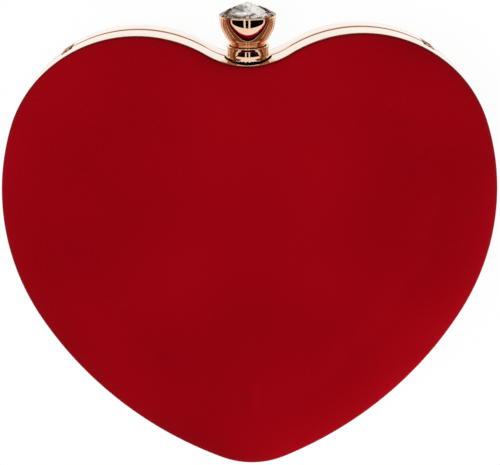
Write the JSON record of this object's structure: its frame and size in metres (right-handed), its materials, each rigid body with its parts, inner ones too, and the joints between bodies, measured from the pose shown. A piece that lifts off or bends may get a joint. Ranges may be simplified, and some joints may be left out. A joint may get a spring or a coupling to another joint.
{
  "type": "heart shaped clutch purse",
  "caption": "Hinged heart shaped hard clutch: padded velvet covers in metal rims, closed by a crystal topped press knob.",
  "frame": {"origin": "middle of the back cover's flat face, which the purse lies on", "axes": "+Z out of the front cover, +Y from the tip towards the knob, +X to the right seen from the front"},
  "size_m": [0.2, 0.2021, 0.0481],
  "materials": {
    "rose_gold_rim": "pale rose gold plating, satin polished",
    "polished_rose_gold": "rose gold plating, mirror polished",
    "rivet_brass": "turned brass, plated",
    "bright_steel": "bright drawn and stamped steel",
    "moulded_shell": "moulded, uncoated",
    "padding": "thin wadding",
    "velvet": "short crimson pile, smooth",
    "satin_lining": "satin on card",
    "crystal": "cut and polished flat facets"
  },
  "bodies": {
    "back_half": {"back_rim": "rose_gold_rim", "back_shell": "moulded_shell", "back_padding": "padding", "back_velvet": "velvet", "back_lining": "satin_lining", "back_hinge_leaf": "polished_rose_gold", "back_left_hinge_rivet": "rivet_brass", "back_right_hinge_rivet": "rivet_brass", "hinge_pin": "rivet_brass", "clasp_collar": "polished_rose_gold", "left_collar_rivet": "rivet_brass", "right_collar_rivet": "rivet_brass", "clasp_spring": "bright_steel", "left_loop_bracket": "rivet_brass", "right_loop_bracket": "rivet_brass", "left_loop_pin": "rivet_brass", "right_loop_pin": "rivet_brass"},
    "front_half": {"front_rim": "rose_gold_rim", "front_shell": "moulded_shell", "front_padding": "padding", "front_velvet": "velvet", "front_lining": "satin_lining", "front_hinge_leaf": "polished_rose_gold", "front_left_hinge_rivet": "rivet_brass", "front_right_hinge_rivet": "rivet_brass", "strike_plate": "bright_steel", "left_strike_rivet": "rivet_brass", "right_strike_rivet": "rivet_brass"},
    "clasp_knob": {"knob_cup": "polished_rose_gold", "knob_stem": "bright_steel", "latch_hook": "bright_steel", "crystal": "crystal", "crystal_bezel": "polished_rose_gold"},
    "left_loop": {"left_chain_loop": "polished_rose_gold"},
    "right_loop": {"right_chain_loop": "polished_rose_gold"}
  },
  "joints": [
    {"name": "lid_hinge", "type": "hinge", "parent": "back_half", "child": "front_half", "pos_m": [0, -0.0962, 0.02405], "axis": [1, 0, 0], "range_deg": [0, 95]},
    {"name": "knob_press", "type": "slide", "parent": "back_half", "child": "clasp_knob", "axis": [0, -1, 0], "range_m": [0, 0.0016], "stiffness_N_per_m": 600, "springref_m": -0.002, "deforming": ["clasp_spring"]},
    {"name": "left_loop_swing", "type": "hinge", "parent": "back_half", "child": "left_loop", "pos_m": [-0.07047, 0.0842, 0.01745], "axis": [-0.8572, -0.515, 0], "range_deg": [0, 90]},
    {"name": "right_loop_swing", "type": "hinge", "parent": "back_half", "child": "right_loop", "pos_m": [0.07047, 0.0842, 0.01745], "axis": [-0.8572, 0.515, 0], "range_deg": [0, 90]}
  ]
}
